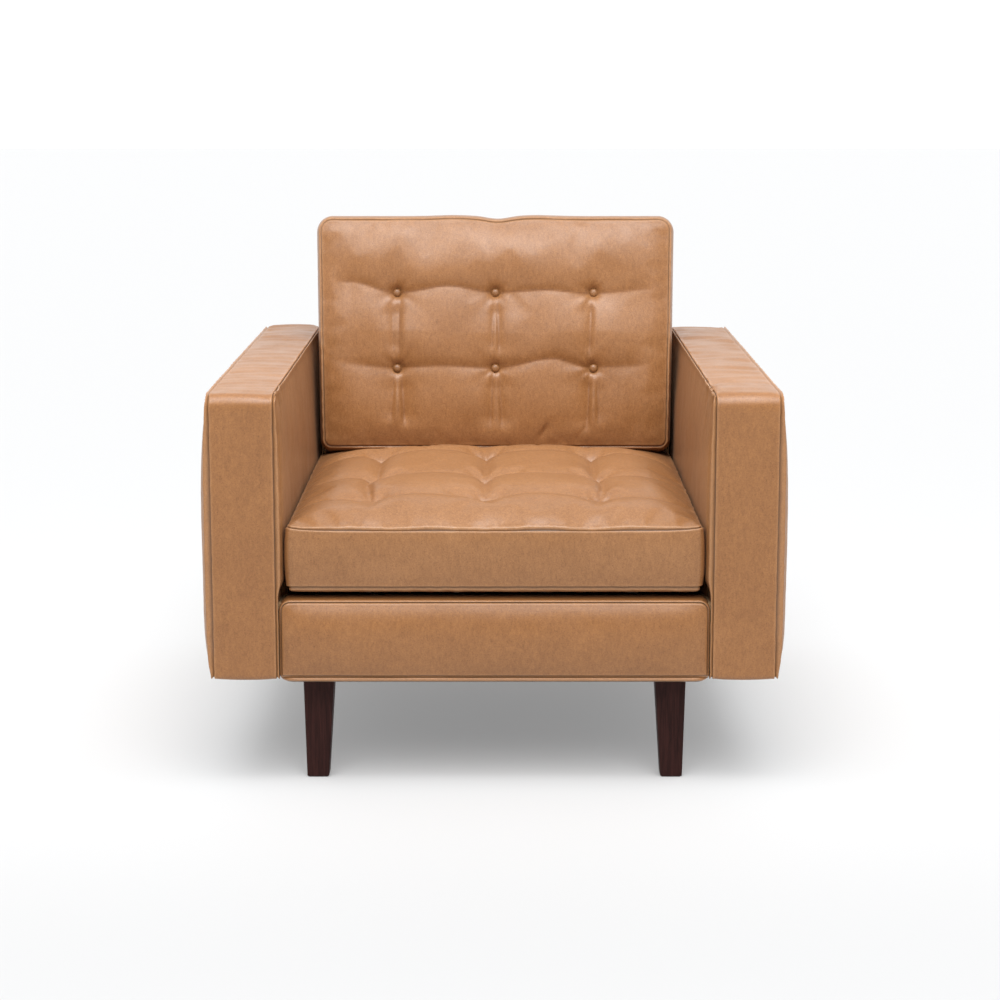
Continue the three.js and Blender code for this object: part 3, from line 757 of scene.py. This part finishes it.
def sink_tufts(a, b, surface, tufts, core, wide, tucks, rng):
    """Draws a panel down to its tufts: a flat seat for the button in a steep well in a broad dimple."""
    wells = np.zeros_like(a)
    creases = np.zeros_like(a)
    for tuft_a, tuft_b, floor in tufts:
        reach = np.hypot(a - tuft_a, b - tuft_b)
        nearest = np.argmin(reach)
        depth = surface[nearest] - floor
        beyond = np.maximum(reach - BUTTON_SEAT, 0)
        well = depth * (0.45 * np.exp(-beyond / core) + 0.55 * np.exp(-beyond / wide))
        wells = np.where(reach < BUTTON_SEAT, surface - floor, np.maximum(wells, well))
        creases += rays(a, b, (tuft_a, tuft_b), 7, 30 * MM, rng)
    return surface - wells + tucks * creases


SEAT_SETTLE = 1.0
BACK_SETTLE = 0.3
SEAT_BOXING = 106 * MM
SEAT_SEAM_LIFT = 10 * MM
SEAT_STEP = 3.6 * MM
SEAT_SPREAD = 3 * MM
SEAT_EAR = 6 * MM

# The seat's crown above its top seam, along its length: it swells in front of the back cushion, and is
# pressed down under it.
SEAT_CREST = (
    (-0.400, 0.043), (-0.200, 0.042), (-0.020, 0.043), (0.090, 0.053), (0.120, 0.0555),
    (0.140, 0.054), (0.188, 0.026), (0.290, 0.023), (0.400, 0.023),
)


def build_seat_cushion(rng):
    """The seat cushion: a across, b towards the back, c up. Its lower seam sits above its soft underside."""
    low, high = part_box("seat_cushion_cover")
    top_seam = low.z + SEAT_BOXING
    boxing = top_seam - low.z - SEAT_SEAM_LIFT
    width, length = high.x - low.x + SEAT_SPREAD, high.y - low.y
    radii = {(1, 1): 18 * MM, (-1, 1): 18 * MM, (1, -1): 10 * MM, (-1, -1): 10 * MM}
    form = BoxedForm(width, length, boxing, radii, SEAT_STEP)
    middle = Vector(((low.x + high.x) / 2, (low.y + high.y) / 2, top_seam - boxing / 2))
    axes = [Vector((1, 0, 0)), Vector((0, 1, 0)), Vector((0, 0, 1))]
    places = tuft_places("seat", ("front", "middle", "rear"), middle, *axes)
    half_boxing = boxing / 2
    tufts = [(ta, tb, floor - half_boxing) for ta, tb, floor in places.values()]
    a, b = form.base[:, 0], form.base[:, 1]
    across, along = a / form.half[0], b / form.half[1]
    crown = through(SEAT_CREST, b) * fade(across, 6) * fade(along, 7)
    surface = crown - seat_troughs(a, b, places, form.half)
    surface = sink_tufts(a, b, surface, tufts, 14 * MM, 30 * MM, 3.4 * MM, rng)
    surface += 0.8 * MM * ripples(rng, form.base[:, :2], 0.12, 16)
    form.panel(1, surface)
    # Painted shade along the rows and columns of tufts.
    form.crease_shade += seat_crease_shade(a, b, places, form.half) * (form.side == 1)
    under_back = smoothstep((b - 0.14) / 0.02)
    settle(form, np.maximum(held_places(form, a, b, tufts), under_back), SEAT_SETTLE)
    form.panel(-1, SEAT_SEAM_LIFT * (1 - np.exp(-form.inset / (9 * MM))))
    form.swell_band(3 * MM)
    from_corner = np.hypot(form.half[0] - np.abs(a), b + form.half[1])
    upper = np.clip(0.5 + form.base[:, 2] / boxing, 0, 1)
    form.points[:, 2] += SEAT_EAR * upper * np.exp(-from_corner / (28 * MM))
    form.soften(3 * MM, 8 * MM)
    form.sew(pucker=0.6 * MM, rng=rng)
    piece = form.piece("seat_cushion_leather", axes, middle)
    dress(piece, "seat_cushion", "leather", CUSHION_LEATHER_PAINTED_SHEEN, "seat_cushion_cover", "seat_cushion_core")


def seat_troughs(a, b, places, half):
    """The hollows between the seat's puffs: along the rows of tufts and, more faintly, from row to row."""
    rows = sorted({round(place[1], 4) for place in places.values()})
    columns = sorted({round(place[0], 4) for place in places.values()})
    side_run = fade(a / half[0], 12)
    near_column = sum(np.exp(-np.abs(a - column) / (42 * MM)) for column in columns)
    trough = np.zeros_like(a)
    for number, row in enumerate(rows):
        bow = 5 * MM * np.sin(a * 17 + 2.1 * number)
        offset = b - row - bow * (1 - np.clip(near_column, 0, 1))
        reach = np.where(offset < 0, 9 * MM, 30 * MM)
        depth = (12 + 7 * np.clip(near_column, 0, 1)) * MM
        near = np.sqrt(offset ** 2 + (1.2 * MM) ** 2) - 1.2 * MM
        trough = np.maximum(trough, depth * side_run * np.exp(-near / reach))
    between = smoothstep((b - rows[0]) / (20 * MM)) * smoothstep((rows[-1] + 35 * MM - b) / (40 * MM))
    for number, column in enumerate(columns):
        drift = 11 * MM * (number - 1) * np.sin(math.pi * np.clip((b - rows[0]) / (rows[1] - rows[0]), 0, 1))
        near = np.sqrt((a - column - drift) ** 2 + (1.5 * MM) ** 2) - 1.5 * MM
        trough = np.maximum(trough, 12 * MM * between * np.exp(-near / (15 * MM)))
        front_run = smoothstep((rows[0] - b) / (10 * MM)) * smoothstep((b + half[1] - 30 * MM) / (60 * MM))
        trough += 1.6 * MM * front_run * np.exp(-((a - column) / (30 * MM)) ** 2)
    return trough


def seat_crease_shade(a, b, places, half):
    """How much painted shade darkens the seat's leather along the lines of its tufts."""
    rows = sorted({round(place[1], 4) for place in places.values()})
    columns = sorted({round(place[0], 4) for place in places.values()})
    marks = np.zeros_like(a)
    for row in rows:
        marks = np.maximum(marks, 0.3 * fade(a / half[0], 12) * np.exp(-((b - row) / (2.5 * MM)) ** 2))
    for column in columns:
        between = (b > rows[0]) * smoothstep((rows[-1] - b) / (30 * MM))
        marks = np.maximum(marks, 0.2 * between * np.exp(-((a - column) / (2 * MM)) ** 2))
    return marks


BACK_BOXING = 110 * MM
BACK_CROWN = {"cad": 18 * MM, "front": 23 * MM, "rear": 14 * MM}
BACK_SIDE_SWELL = 4 * MM
BACK_STEP = 2.8 * MM
BACK_TAPER = 0.018
BACK_COLUMN_GAIN = 2.2

# The back cushion's two rows of folds, each as (across, up) points and (across, depth in mm) points. The
# puff above a row hangs over it, and the leather comes out again slowly below it.
BACK_ROW_FOLDS = (
    {
        "line": [(-0.305, 0.095), (-0.265, 0.094), (-0.183, 0.073), (-0.085, 0.085), (0.0, 0.074),
                 (0.095, 0.078), (0.176, 0.072), (0.300, 0.081)],
        "depth": [(-0.305, 0), (-0.262, 9), (-0.100, 11), (0.120, 11), (0.200, 8), (0.250, 7), (0.300, 0)],
    },
    {
        "line": [(-0.295, -0.054), (-0.183, -0.063), (-0.100, -0.060), (0.0, -0.064), (0.106, -0.047),
                 (0.178, -0.063), (0.290, -0.059)],
        "depth": [(-0.295, 0), (-0.235, 7), (-0.100, 11), (0.120, 12), (0.200, 8), (0.250, 6), (0.290, 0)],
    },
)
BACK_FOLD_BELOW = 75 * MM
BACK_FOLD_ABOVE = 20 * MM
BACK_TUCK = 20 * MM
BACK_TUCK_REACH = 55 * MM
# Folds up the cushion, below the tufts.
BACK_COLUMN_FOLDS = (
    ([(-0.052, -0.178), (0.066, -0.177)], 3.2, 12, 5),
    ([(-0.048, -0.189), (0.060, -0.188)], 1.6, 12, 3),
    ([(-0.050, 0.007), (0.066, 0.004)], 3.4, 4, 14),
    ([(-0.046, -0.006), (0.062, -0.003)], 2.6, 14, 3),
    ([(-0.052, 0.174), (0.066, 0.177)], 3.4, 14, 5),
    ([(-0.178, -0.170), (-0.072, -0.174)], 4.6, 4, 20),
    ([(-0.172, -0.194), (-0.074, -0.188)], 3.0, 20, 4),
    ([(-0.184, 0.012), (-0.070, 0.007)], 3.6, 4, 20),
    ([(-0.182, -0.008), (-0.070, -0.005)], 3.6, 20, 4),
    ([(-0.182, 0.002), (-0.078, 0.001)], 1.4, 3, 3),
    ([(-0.186, 0.172), (-0.070, 0.175)], 4.6, 20, 4),
    ([(-0.176, 0.192), (-0.076, 0.189)], 2.6, 4, 18),
    ([(-0.206, 0.080), (-0.150, 0.102)], 2.4, 4, 12),
    ([(-0.202, 0.150), (-0.160, 0.172)], 2.0, 4, 12),
    ([(-0.206, -0.100), (-0.168, -0.112)], 1.6, 10, 4),
)


def build_back_cushion(rng):
    """The back cushion, built in its own leaning axes: a across, b up the back, c out of its face."""
    up = Vector((0, math.sin(RECLINE), math.cos(RECLINE)))
    out = Vector((0, -math.cos(RECLINE), math.sin(RECLINE)))
    across_axis = Vector((1, 0, 0))
    corners = [vertex.co for vertex in frame["nodes"]["back_cushion_cover"].data.vertices]
    heights = [corner.dot(up) for corner in corners]
    depths = [corner.dot(out) for corner in corners]
    low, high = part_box("back_cushion_cover")
    width = high.x - low.x - 2 * BACK_SIDE_SWELL
    length = max(heights) - min(heights) - 2 * BACK_SIDE_SWELL
    front_seam = max(depths) - BACK_CROWN["cad"]
    middle = up * ((max(heights) + min(heights)) / 2) + out * (front_seam - BACK_BOXING / 2)
    radii = {(1, 1): 23 * MM, (-1, 1): 23 * MM, (1, -1): 15 * MM, (-1, -1): 15 * MM}
    form = BoxedForm(width, length, BACK_BOXING, radii, BACK_STEP)
    places = tuft_places("back", ("lower", "upper"), middle, across_axis, up, out)
    tufts = [(ta, tb, floor - BACK_BOXING / 2) for ta, tb, floor in places.values()]
    a, b = form.base[:, 0], form.base[:, 1]
    across, along = a / form.half[0], b / form.half[1]
    crown = BACK_CROWN["front"] * fade(across, 4) * np.where(along < 0, fade(along, 2.6), fade(along, 4))
    folds = sum(fold(a, b, row["line"], through(row["depth"], a) * MM, BACK_FOLD_BELOW, BACK_FOLD_ABOVE)
                for row in BACK_ROW_FOLDS)
    folds += sum(fold(b, a, line, BACK_COLUMN_GAIN * depth * MM, left * MM, right * MM, 32 * MM)
                 for line, depth, left, right in BACK_COLUMN_FOLDS)
    surface = sink_tufts(a, b, crown - folds, tufts, 6 * MM, 40 * MM, 1.2 * MM, rng)
    surface += 0.8 * MM * ripples(rng, form.base[:, :2], 0.12, 16)
    form.panel(1, surface)
    settle(form, held_places(form, a, b, tufts), BACK_SETTLE)
    # Painted shade along the back's fold lines.
    for row in BACK_ROW_FOLDS:
        form.crease_shade += 0.055 * through(row["depth"], a) * fold_shade_line(a, b, row["line"]) * (form.side == 1)
    for line, depth, *_ in BACK_COLUMN_FOLDS:
        form.crease_shade += 0.09 * depth * fold_shade_line(b, a, line, 32 * MM) * (form.side == 1)
    form.points[:, 0] *= 1 - BACK_TAPER * (1 - along) / 2
    fore = np.clip(0.5 + form.base[:, 2] / BACK_BOXING, 0, 1)
    form.points[:, 2] -= BACK_TUCK * fore * np.exp(-(b + form.half[1]) / BACK_TUCK_REACH)
    form.panel(-1, BACK_CROWN["rear"] * fade(across, 4) * fade(along, 4))
    near_top = np.exp(-(form.half[1] - b) / 0.04)
    dip = 5 * MM * np.exp(-((a - 0.005) / 0.028) ** 2) - 1.8 * MM * np.exp(-((np.abs(a) - 0.075) / 0.045) ** 2)
    form.points[:, 1] -= near_top * dip
    form.swell_band(8 * MM)
    form.soften(3 * MM, 8 * MM)
    form.sew(pucker=0.6 * MM, rng=rng)
    piece = form.piece("back_cushion_leather", [across_axis, up, out], middle)
    dress(piece, "back_cushion", "leather", CUSHION_LEATHER_PAINTED_SHEEN, "back_cushion_cover", "back_cushion_core")


# ---------------------------------------------------------------- buttons

BUTTON_RADIUS = 7.2 * MM
BUTTON_PROFILE = ((1.0, 0.0), (1.06, 0.16), (1.0, 0.42), (0.86, 0.68), (0.62, 0.88), (0.32, 0.98), (0.0, 1.0))
BUTTON_SIDES = 28


def build_button(node, body, out, rng):
    """A domed button under tight leather, with small tucks round its rim."""
    low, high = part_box(node)
    base = (low + high) / 2 - out * BUTTON_HALF
    height = 5.4 * MM
    tucks = rng.uniform(0, 2 * math.pi)
    side = Vector((1, 0, 0))
    ahead = out.cross(side)
    points = []
    for reach, level in BUTTON_PROFILE[:-1]:
        for k in range(BUTTON_SIDES):
            angle = 2 * math.pi * k / BUTTON_SIDES
            wobble = 1 + 0.035 * math.sin(9 * angle + tucks) * (1 - level)
            spoke = side * math.cos(angle) + ahead * math.sin(angle)
            points.append(base + spoke * (BUTTON_RADIUS * reach * wobble) + out * (height * level))
    points.append(base + out * height)
    points.append(base.copy())
    rings = len(BUTTON_PROFILE) - 1
    top, bottom = rings * BUTTON_SIDES, rings * BUTTON_SIDES + 1
    faces = []
    for k in range(BUTTON_SIDES):
        following = (k + 1) % BUTTON_SIDES
        for ring in range(rings - 1):
            start, above = ring * BUTTON_SIDES, (ring + 1) * BUTTON_SIDES
            faces.append((start + k, start + following, above + following, above + k))
        last = (rings - 1) * BUTTON_SIDES
        faces.append((last + k, last + following, top))
        faces.append((following, k, bottom))
    piece = add_mesh(f"{node}_leather", points, faces, {"seam": np.full(len(points), 0.05)})
    smooth = piece.modifiers.new("smooth", "SUBSURF")
    smooth.levels = smooth.render_levels = 1
    dress(piece, body, "button_leather", BUTTON_LEATHER, node)


def build_buttons(rng):
    lean_out = Vector((0, -math.cos(RECLINE), math.sin(RECLINE)))
    for column in ("left", "centre", "right"):
        for row in ("front", "middle", "rear"):
            build_button(f"seat_button_{row}_{column}", "seat_cushion", Vector((0, 0, 1)), rng)
        for row in ("lower", "upper"):
            build_button(f"back_button_{row}_{column}", "back_cushion", lean_out, rng)


# ---------------------------------------------------------------- back

BACK_FRAME_SPAN = 0.1


def build_back(rng):
    """The chair's back between the arms: a padded wedge, upright behind and leaning in front."""
    low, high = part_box("back_cover")
    width, height = high.x - low.x, high.z - low.z
    radii = {(i, j): 12 * MM for i in (1, -1) for j in (1, -1)}
    form = BoxedForm(width, height, BACK_FRAME_SPAN, radii, 10 * MM)
    across, along = form.base[:, 0] / form.half[0], form.base[:, 1] / form.half[1]
    form.panel(1, 4 * MM * fade(across, 6) * fade(along, 6))
    form.soften(3 * MM, 7 * MM)
    form.sew(pucker=0.5 * MM, rng=rng)
    z = form.points[:, 1] + (low.z + high.z) / 2
    seat_low, seat_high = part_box("seat_cushion_cover")
    front_face = low.y + (z - seat_low.z) * math.tan(RECLINE)
    behind = form.points[:, 2] / BACK_FRAME_SPAN + 0.5
    front_nodes = [v.co for v in frame["nodes"]["back_cover"].data.vertices if v.co.y < low.y + 0.05]
    narrow = 1 - max(v.x for v in front_nodes) / high.x
    form.points[:, 0] *= 1 - narrow * (1 - np.clip(behind, 0, 1))
    form.points[:, 2] = front_face + (high.y - front_face) * behind
    form.points[:, 1] = z
    piece = form.piece("back_upholstery", [(1, 0, 0), (0, 0, 1), (0, 1, 0)], (0, 0, 0))
    piece.data.flip_normals()
    dress(piece, "chair", "leather", LEATHER, "back_cover", "back_padding", "back_webbing")


# ---------------------------------------------------------------- sheets of cloth

def grid_sheet(name, lines_x, lines_y, height, keep=None):
    """A sheet over a grid of lines. height and keep are functions of a point's or a cell's x and y."""
    x, y = np.meshgrid(np.array(lines_x), np.array(lines_y), indexing="ij")
    points = np.column_stack([x.reshape(-1), y.reshape(-1), height(x, y).reshape(-1)])
    index = np.arange(x.size).reshape(x.shape)
    faces = np.stack([index[:-1, :-1], index[1:, :-1], index[1:, 1:], index[:-1, 1:]], axis=-1)
    if keep is not None:
        middle_x = (x[:-1, :-1] + x[1:, 1:]) / 2
        middle_y = (y[:-1, :-1] + y[1:, 1:]) / 2
        faces = faces[keep(middle_x, middle_y)]
    faces = faces.reshape(-1, 4)
    used = np.unique(faces)
    renumber = np.zeros(len(points), int)
    renumber[used] = np.arange(len(used))
    piece = add_mesh(name, points[used], renumber[faces])
    thickness = piece.modifiers.new("thickness", "SOLIDIFY")
    thickness.thickness = 1.0 * MM
    thickness.offset = 0
    return piece


def lines_between(stops, step):
    """Grid lines through each stop, with more between them so that none are further apart than a step."""
    stops = sorted(stops)
    lines = [stops[0]]
    for start, end in zip(stops, stops[1:]):
        count = max(1, math.ceil((end - start) / step))
        lines += [start + (end - start) * k / count for k in range(1, count + 1)]
    return lines


def build_deck_cloth(rng):
    """The deck cloth, stretched from the front rail to the back over the bowed springs."""
    low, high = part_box("deck_cloth")
    springs = [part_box(f"seat_spring_{n}") for n in (1, 2, 3, 4)]
    places = [(spring_low.x + spring_high.x) / 2 for spring_low, spring_high in springs]

    def height(x, y):
        sag = 2.2 * MM * fade((y - (low.y + high.y) / 2) / ((high.y - low.y) / 2), 4)
        on_spring = sum(np.exp(-((x - place) / 0.03) ** 2) for place in places)
        points = np.column_stack([x.reshape(-1), y.reshape(-1)])
        waves = 0.35 * MM * ripples(rng, points, 0.09, 12).reshape(x.shape)
        return (low.z + high.z) / 2 - sag * (1 - np.clip(on_spring, 0, 1)) + waves

    lines_x = lines_between([low.x, high.x], 12 * MM)
    lines_y = lines_between([low.y, high.y], 12 * MM)
    piece = grid_sheet("deck_cloth_sheet", lines_x, lines_y, height)
    dress(piece, "chair", "deck_cloth", DECK_CLOTH, "deck_cloth")


def build_dust_cover(rng):
    """The dust cover under the frame, with a square hole for each leg and a notch behind the front rail."""
    low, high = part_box("dust_cover")
    legs = [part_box(f"{end}_{side}_leg") for end in ("front", "rear") for side in ("left", "right")]
    margin = 1 * MM
    holes = [(leg_low - Vector((margin, margin, 0)), leg_high + Vector((margin, margin, 0)))
             for leg_low, leg_high in legs]
    fascia_low, fascia_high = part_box("front_rail_cover")
    notch_x = fascia_high.x + 8 * MM
    notch_y = low.y + 42 * MM

    def keep(x, y):
        solid = ~((np.abs(x) < notch_x) & (y < notch_y))
        for hole_low, hole_high in holes:
            solid &= ~((x > hole_low.x) & (x < hole_high.x) & (y > hole_low.y) & (y < hole_high.y))
        return solid

    def height(x, y):
        sag = fade(x / high.x, 2) * fade(y / high.y, 2)
        points = np.column_stack([x.reshape(-1), y.reshape(-1)])
        waves = 0.5 * MM * ripples(rng, points, 0.12, 12).reshape(x.shape)
        return low.z + 0.7 * MM - 2 * MM * sag + waves * np.clip(4 * sag, 0, 1)

    edges_x = [low.x, high.x, -notch_x, notch_x]
    edges_y = [low.y, high.y, notch_y]
    for hole_low, hole_high in holes:
        edges_x += [hole_low.x, hole_high.x]
        edges_y += [hole_low.y, hole_high.y]
    lines_x = lines_between(sorted({round(edge, 5) for edge in edges_x}), 20 * MM)
    lines_y = lines_between(sorted({round(edge, 5) for edge in edges_y}), 20 * MM)
    piece = grid_sheet("dust_cover_sheet", lines_x, lines_y, height, keep)
    dress(piece, "chair", "dust_cloth", DUST_CLOTH, "dust_cover")


# ---------------------------------------------------------------- zips

ZIP_TAPE_WIDTH = 22 * MM
TOOTH_PITCH = 2.6 * MM


def build_zip(kind, out, up, proud):
    """A zip on a cushion's band: a woven tape, two rows of teeth, and a slider with its pull."""
    low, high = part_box(f"{kind}_zip")
    length = high.x - low.x
    middle = (low + high) / 2 + out * proud
    across = Vector((1, 0, 0))

    def place(x, y, z):
        return middle + across * x + up * y + out * z

    lines_x = lines_between([-length / 2, length / 2], 12 * MM)
    lines_y = lines_between([-ZIP_TAPE_WIDTH / 2, ZIP_TAPE_WIDTH / 2], 3 * MM)
    x, y = np.meshgrid(lines_x, lines_y, indexing="ij")
    rib = 0.7 * MM * np.exp(-(y / (2.4 * MM)) ** 2)
    points = [place(*values) for values in zip(x.reshape(-1), y.reshape(-1), rib.reshape(-1))]
    index = np.arange(x.size).reshape(x.shape)
    faces = np.stack([index[:-1, :-1], index[1:, :-1], index[1:, 1:], index[:-1, 1:]], axis=-1).reshape(-1, 4)
    tape = add_mesh(f"{kind}_zip_tape", points, faces)
    thickness = tape.modifiers.new("thickness", "SOLIDIFY")
    thickness.thickness = 0.9 * MM
    thickness.offset = 0
    dress(tape, kind, "zip", ZIP_TAPE, f"{kind}_zip")

    mesh = bmesh.new()
    count = int((length - 20 * MM) / TOOTH_PITCH)
    for n in range(count):
        side = 1 if n % 2 else -1
        centre = place((n - (count - 1) / 2) * TOOTH_PITCH, side * 1.1 * MM, 1.2 * MM)
        add_block(mesh, centre, (across, up, out), (1.9 * MM, 3.4 * MM, 1.7 * MM), 0.4 * MM)
    teeth = mesh_piece(f"{kind}_zip_teeth", mesh)
    dress(teeth, kind, "zip", ZIP_METAL)

    mesh = bmesh.new()
    stop = -length / 2 + 16 * MM
    add_block(mesh, place(stop, 0, 2.6 * MM), (across, up, out), (11 * MM, 8 * MM, 2.4 * MM), 0.9 * MM)
    add_block(mesh, place(stop, 0, 4.4 * MM), (across, up, out), (6 * MM, 2.2 * MM, 2.4 * MM), 0.7 * MM)
    add_block(mesh, place(stop + 16 * MM, 0, 4.9 * MM), (across, up, out), (27 * MM, 5 * MM, 1.3 * MM), 0.6 * MM)
    slider = mesh_piece(f"{kind}_zip_slider", mesh)
    dress(slider, kind, "zip", ZIP_METAL)


def add_block(mesh, centre, axes, size, bevel):
    """A small block with its edges eased."""
    turn = Matrix([[axes[column][row] for column in range(3)] for row in range(3)]).to_4x4()
    scale = Matrix.Diagonal((*size, 1))
    made = bmesh.ops.create_cube(mesh, size=1, matrix=Matrix.Translation(centre) @ turn @ scale)
    edges = {edge for vertex in made["verts"] for edge in vertex.link_edges}
    bmesh.ops.bevel(mesh, geom=list(edges), offset=bevel, segments=1, affect="EDGES")


def mesh_piece(name, source):
    mesh = bpy.data.meshes.new(name)
    bmesh.ops.recalc_face_normals(source, faces=source.faces)
    source.to_mesh(mesh)
    source.free()
    piece = bpy.data.objects.new(name, mesh)
    bpy.context.scene.collection.objects.link(piece)
    return piece


# ---------------------------------------------------------------- pieces kept from the frame

def finish_kept_nodes():
    finishes = {"leg_wood": LEG_WOOD, "frame_timber": TIMBER, "steel": STEEL}
    slots = {row["node"]: row["material_slot"] for row in frame["record"]["subparts"]}
    for name, node in frame["nodes"].items():
        material = finishes.get(slots[name])
        if material:
            node.data.materials.clear()
            node.data.materials.append(material)


random = np.random.default_rng(SEED)
build_stage()
build_arm("left_arm", 1, random)
build_arm("right_arm", -1, random)
build_fascia(random)
build_back(random)
build_seat_cushion(random)
build_back_cushion(random)
build_buttons(random)
build_deck_cloth(random)
build_dust_cover(random)
build_zip("seat_cushion", Vector((0, 1, 0)), Vector((0, 0, 1)), 7.5 * MM)
build_zip("back_cushion", Vector((0, -math.sin(RECLINE), -math.cos(RECLINE))),
          Vector((0, math.cos(RECLINE), -math.sin(RECLINE))), 7.5 * MM)
finish_kept_nodes()

bpy.context.view_layer.update()
